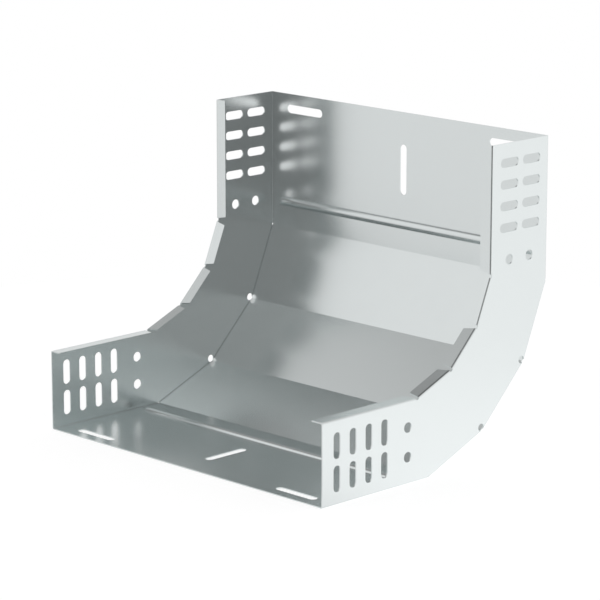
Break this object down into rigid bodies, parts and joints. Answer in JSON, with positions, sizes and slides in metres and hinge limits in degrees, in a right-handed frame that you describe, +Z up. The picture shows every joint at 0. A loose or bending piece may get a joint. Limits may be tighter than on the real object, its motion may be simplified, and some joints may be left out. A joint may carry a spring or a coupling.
{
  "type": "cable tray bend",
  "caption": "Rising right-angle bend for a cable tray: a folded trough of three slanted panels between two flanged side plates, with slotted ends.",
  "frame": {"origin": "middle of the box around the part, at the underside of the lower run", "axes": "X across the tray, +Y from the open lower end towards the upright run, +Z up along the upright run"},
  "size_m": [0.302, 0.244, 0.244],
  "materials": {
    "galvanised_sheet": "smooth galvanised steel sheet, semi-gloss"
  },
  "bodies": {
    "root": {"bend_body": "galvanised_sheet"}
  },
  "joints": []
}
